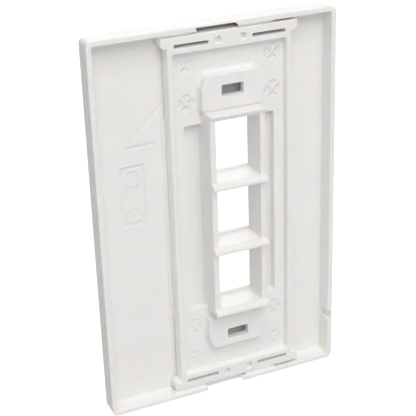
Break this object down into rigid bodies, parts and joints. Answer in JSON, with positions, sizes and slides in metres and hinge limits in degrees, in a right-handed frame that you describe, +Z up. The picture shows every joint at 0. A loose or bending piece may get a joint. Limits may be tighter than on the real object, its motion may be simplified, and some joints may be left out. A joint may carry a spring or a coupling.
{
  "type": "keystone faceplate",
  "caption": "Screwless wall plate: a clip-on cover frame over a screw-fixed insert with a column of latching openings for keystone jacks.",
  "frame": {"origin": "on the wall plane, midway between the two box-screw slots of the port insert", "axes": "+Z up, +Y out of the plate's back into the wall, the front faces -Y"},
  "size_m": [0.0794, 0.0127, 0.1238],
  "materials": {
    "cover_plastic": "satin moulded white ABS",
    "insert_plastic": "satin moulded white ABS"
  },
  "bodies": {
    "root": {"cover_frame": "cover_plastic", "port_insert": "insert_plastic"}
  },
  "joints": []
}
